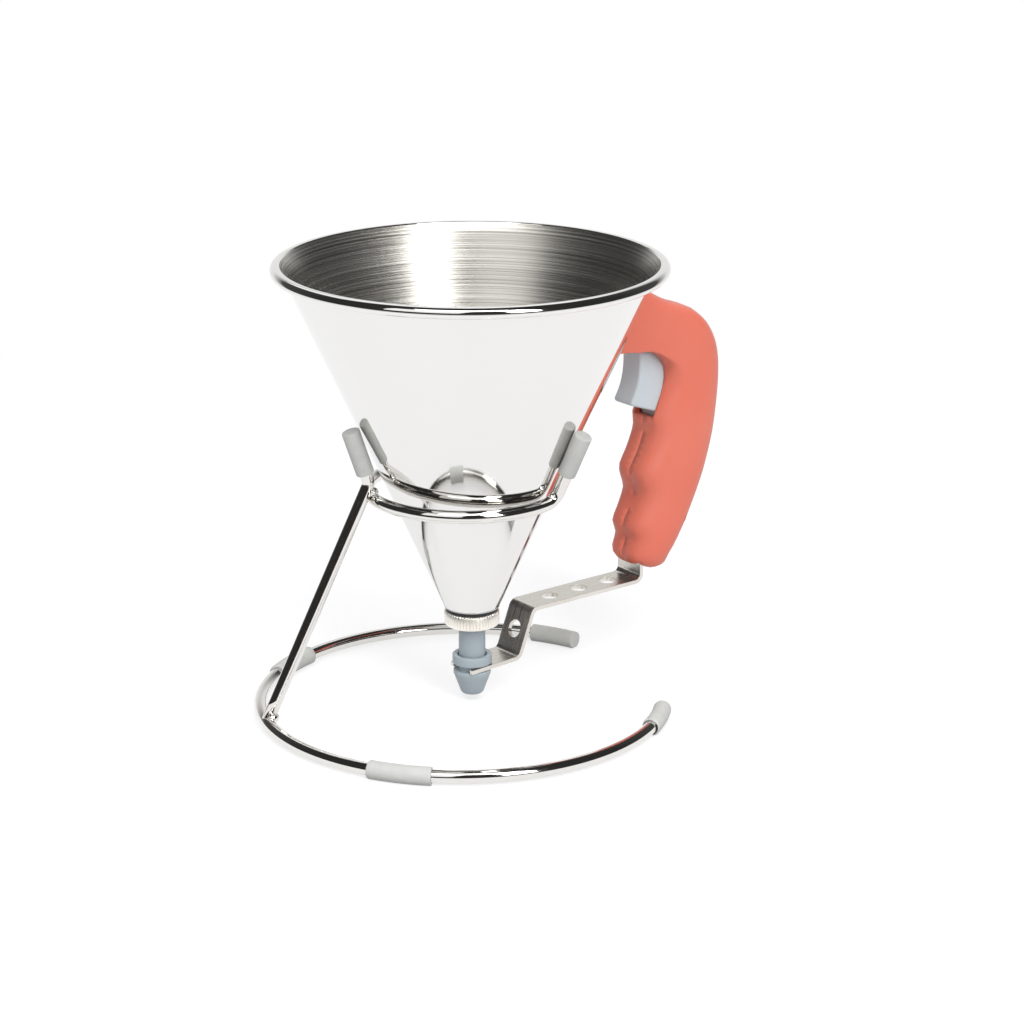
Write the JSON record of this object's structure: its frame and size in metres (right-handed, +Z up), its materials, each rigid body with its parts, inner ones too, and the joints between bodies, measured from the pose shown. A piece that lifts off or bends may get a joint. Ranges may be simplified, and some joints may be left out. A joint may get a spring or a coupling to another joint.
{
  "type": "batter funnel with trigger valve and wire stand",
  "caption": "Hand-held steel batter funnel with a moulded handle; its trigger lifts the outlet valve through a sprung lever, and the funnel lifts out of a bent-wire stand.",
  "frame": {"origin": "on the table under the middle of the whole object's outline", "axes": "+Z up, +X from the funnel towards the handle, +Y to the left of someone who stands behind the handle and looks at the funnel"},
  "size_m": [0.2098, 0.1616, 0.1753],
  "materials": {
    "funnel_steel": "stainless steel, mirror-polished outside and finely brushed round the inside",
    "wire_steel": "polished stainless wire",
    "plain_steel": "plain stainless steel",
    "arm_steel": "satin stainless strip",
    "nickel": "nickel-plated brass, satin knurl",
    "handle_plastic": "satin coral-red moulded plastic",
    "trigger_plastic": "satin light grey plastic",
    "valve_plastic": "matt blue-grey plastic",
    "sleeve_rubber": "matt light grey rubber",
    "dark_rubber": "matt black rubber",
    "seal_silicone": "milky food silicone"
  },
  "bodies": {
    "stand": {"base_ring": "wire_steel", "stand_leg": "wire_steel", "support_ring": "wire_steel", "base_sleeve_near": "sleeve_rubber", "base_sleeve_far": "sleeve_rubber", "base_cap_near": "sleeve_rubber", "base_cap_far": "sleeve_rubber", "prong_sleeve_leg": "sleeve_rubber", "prong_sleeve_near": "sleeve_rubber", "prong_sleeve_far": "sleeve_rubber"},
    "funnel": {"funnel_cone": "funnel_steel", "threaded_spigot": "plain_steel", "knurled_nut": "nickel", "spigot_gasket": "dark_rubber", "guide_bushing": "valve_plastic", "tube_o_ring": "dark_rubber", "handle_bracket": "plain_steel", "handle_shell_near": "handle_plastic", "handle_shell_far": "handle_plastic", "handle_screws": "plain_steel", "pivot_pin": "plain_steel", "return_spring": "plain_steel"},
    "lever": {"trigger": "trigger_plastic", "actuating_arm": "arm_steel", "arm_rivets": "plain_steel"},
    "valve": {"nozzle": "valve_plastic", "valve_tube": "valve_plastic", "valve_seal": "seal_silicone"}
  },
  "joints": [
    {"name": "funnel_lift", "type": "slide", "parent": "stand", "child": "funnel", "axis": [0, 0, 1], "range_m": [0, 0.13]},
    {"name": "trigger_pivot", "type": "hinge", "parent": "funnel", "child": "lever", "pos_m": [0.07001, 0.00363, 0.05], "axis": [0, 1, 0], "range_deg": [0, 4], "stiffness_Nm_per_rad": 3, "springref_deg": -5.16, "deforming": ["return_spring"]},
    {"name": "valve_slide", "type": "slide", "parent": "funnel", "child": "valve", "axis": [0, 0, 1], "range_m": [0, 0.0062]}
  ],
  "couplings": [
    {"joint": "valve_slide", "follows": "trigger_pivot", "m_per_rad": 0.0864}
  ]
}
